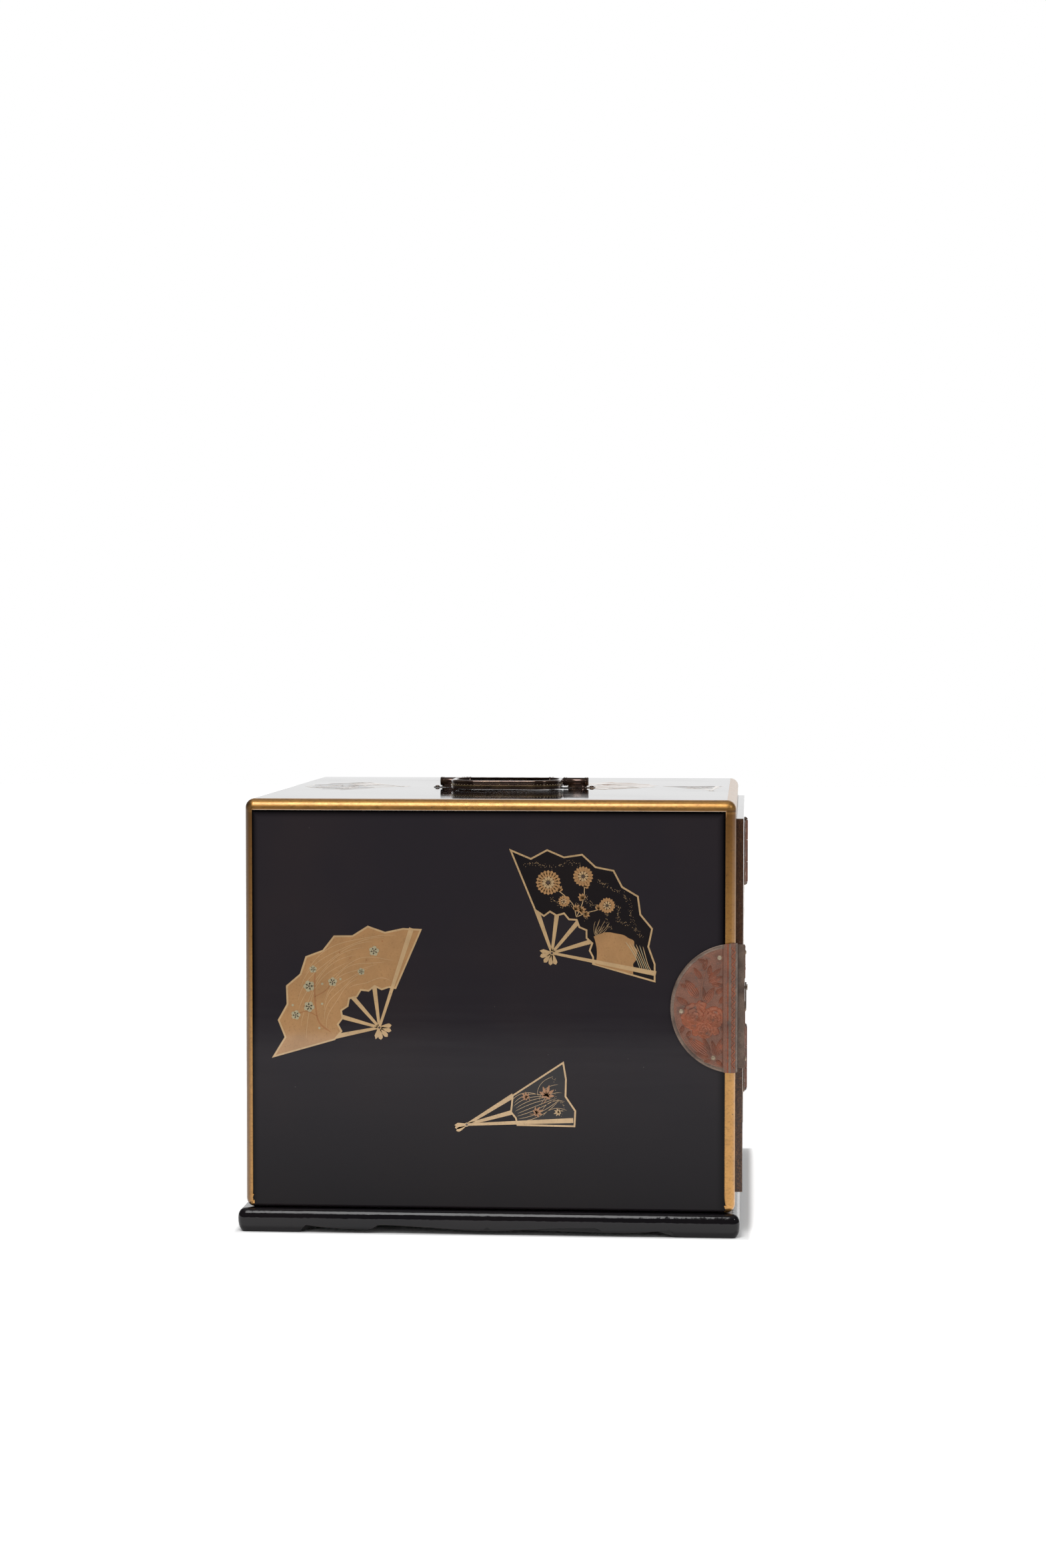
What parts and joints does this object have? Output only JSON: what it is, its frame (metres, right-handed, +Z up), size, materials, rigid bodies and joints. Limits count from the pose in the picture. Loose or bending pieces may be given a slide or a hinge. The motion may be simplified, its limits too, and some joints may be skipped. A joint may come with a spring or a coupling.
{
  "type": "lacquer cabinet",
  "caption": "Small table-top lacquer cabinet on a low cusped plinth, with a lockable hinged door over stacked drawers and a swinging carrying handle on top.",
  "frame": {"origin": "middle of the bounding box's base, on the surface the plinth stands on", "axes": "+Z up; the door faces -Y; +X to the hinge side, so the lock and the pictured side panel face -X"},
  "size_m": [0.338, 0.3118, 0.2731],
  "materials": {
    "black_gold_lacquer": "gloss black lacquer with gold lacquer on the rounded edges and gold fan ornament",
    "black_lacquer": "gloss black lacquer",
    "sprinkled_lacquer": "brown-red lacquer sprinkled with gold flecks",
    "copper": "copper with a red-brown patina, chased ornament",
    "bronze": "dark patinated copper alloy",
    "iron": "blackened iron"
  },
  "bodies": {
    "case": {"top_board": "black_gold_lacquer", "bottom_board": "black_lacquer", "left_side": "black_gold_lacquer", "right_side": "black_gold_lacquer", "back_board": "black_gold_lacquer", "left_liner": "sprinkled_lacquer", "right_liner": "sprinkled_lacquer", "lower_shelf": "sprinkled_lacquer", "upper_shelf": "sprinkled_lacquer", "plinth_left": "black_lacquer", "plinth_right": "black_lacquer", "plinth_front": "black_lacquer", "plinth_back": "black_lacquer", "lock_side_plate": "copper", "lower_hinge_case_leaf": "copper", "lower_hinge_pin": "copper", "upper_hinge_case_leaf": "copper", "upper_hinge_pin": "copper", "handle_plate": "bronze", "handle_post_front": "bronze", "handle_post_back": "bronze", "handle_rod": "bronze"},
    "door": {"door": "black_gold_lacquer", "lock_front_plate": "copper", "lock_case": "iron", "cover_rivet": "copper", "lower_hinge_door_leaf": "copper", "upper_hinge_door_leaf": "copper"},
    "lock_bolt": {"lock_bolt": "iron"},
    "keyhole_cover": {"keyhole_cover": "copper"},
    "lower_drawer": {"lower_drawer_front": "sprinkled_lacquer", "lower_drawer_left": "black_lacquer", "lower_drawer_right": "black_lacquer", "lower_drawer_back": "black_lacquer", "lower_drawer_bottom": "black_lacquer", "lower_eye_pin": "copper", "lower_rosette": "copper"},
    "middle_drawer": {"middle_drawer_front": "sprinkled_lacquer", "middle_drawer_left": "black_lacquer", "middle_drawer_right": "black_lacquer", "middle_drawer_back": "black_lacquer", "middle_drawer_bottom": "black_lacquer", "middle_eye_pin": "copper", "middle_rosette": "copper"},
    "upper_drawer": {"upper_drawer_front": "sprinkled_lacquer", "upper_drawer_left": "black_lacquer", "upper_drawer_right": "black_lacquer", "upper_drawer_back": "black_lacquer", "upper_drawer_bottom": "black_lacquer", "upper_eye_pin": "copper", "upper_rosette": "copper"},
    "lower_ring": {"lower_ring": "copper"},
    "middle_ring": {"middle_ring": "copper"},
    "upper_ring": {"upper_ring": "copper"},
    "bail": {"bail": "bronze"}
  },
  "joints": [
    {"name": "door_hinge", "type": "hinge", "parent": "case", "child": "door", "pos_m": [0.1664, -0.1536, 0.14], "axis": [0, 0, 1], "range_deg": [0, 180]},
    {"name": "lower_drawer_slide", "type": "slide", "parent": "case", "child": "lower_drawer", "axis": [0, -1, 0], "range_m": [0, 0.1]},
    {"name": "middle_drawer_slide", "type": "slide", "parent": "case", "child": "middle_drawer", "axis": [0, -1, 0], "range_m": [0, 0.1]},
    {"name": "upper_drawer_slide", "type": "slide", "parent": "case", "child": "upper_drawer", "axis": [0, -1, 0], "range_m": [0, 0.1]},
    {"name": "lower_ring_lift", "type": "hinge", "parent": "lower_drawer", "child": "lower_ring", "pos_m": [0, -0.13625, 0.0775], "axis": [-1, 0, 0], "range_deg": [0, 90]},
    {"name": "middle_ring_lift", "type": "hinge", "parent": "middle_drawer", "child": "middle_ring", "pos_m": [0, -0.13625, 0.165], "axis": [-1, 0, 0], "range_deg": [0, 90]},
    {"name": "upper_ring_lift", "type": "hinge", "parent": "upper_drawer", "child": "upper_ring", "pos_m": [0, -0.13625, 0.2335], "axis": [-1, 0, 0], "range_deg": [0, 90]},
    {"name": "bail_swing", "type": "hinge", "parent": "case", "child": "bail", "pos_m": [0, 0, 0.2701], "axis": [0, 1, 0], "range_deg": [0, 180]},
    {"name": "lock_bolt_slide", "type": "slide", "parent": "door", "child": "lock_bolt", "axis": [-1, 0, 0], "range_m": [0, 0.005]},
    {"name": "keyhole_cover_swing", "type": "hinge", "parent": "door", "child": "keyhole_cover", "pos_m": [-0.1375, -0.155, 0.15], "axis": [0, 1, 0], "range_deg": [-90, 90]}
  ],
  "couplings": [
    {"joint": "lower_drawer_slide", "follows": "door_hinge", "m_per_rad": 0.0318},
    {"joint": "middle_drawer_slide", "follows": "door_hinge", "m_per_rad": 0.0318},
    {"joint": "upper_drawer_slide", "follows": "door_hinge", "m_per_rad": 0.0318},
    {"joint": "lower_ring_lift", "follows": "door_hinge", "ratio": 0.5},
    {"joint": "middle_ring_lift", "follows": "door_hinge", "ratio": 0.5},
    {"joint": "upper_ring_lift", "follows": "door_hinge", "ratio": 0.5}
  ]
}
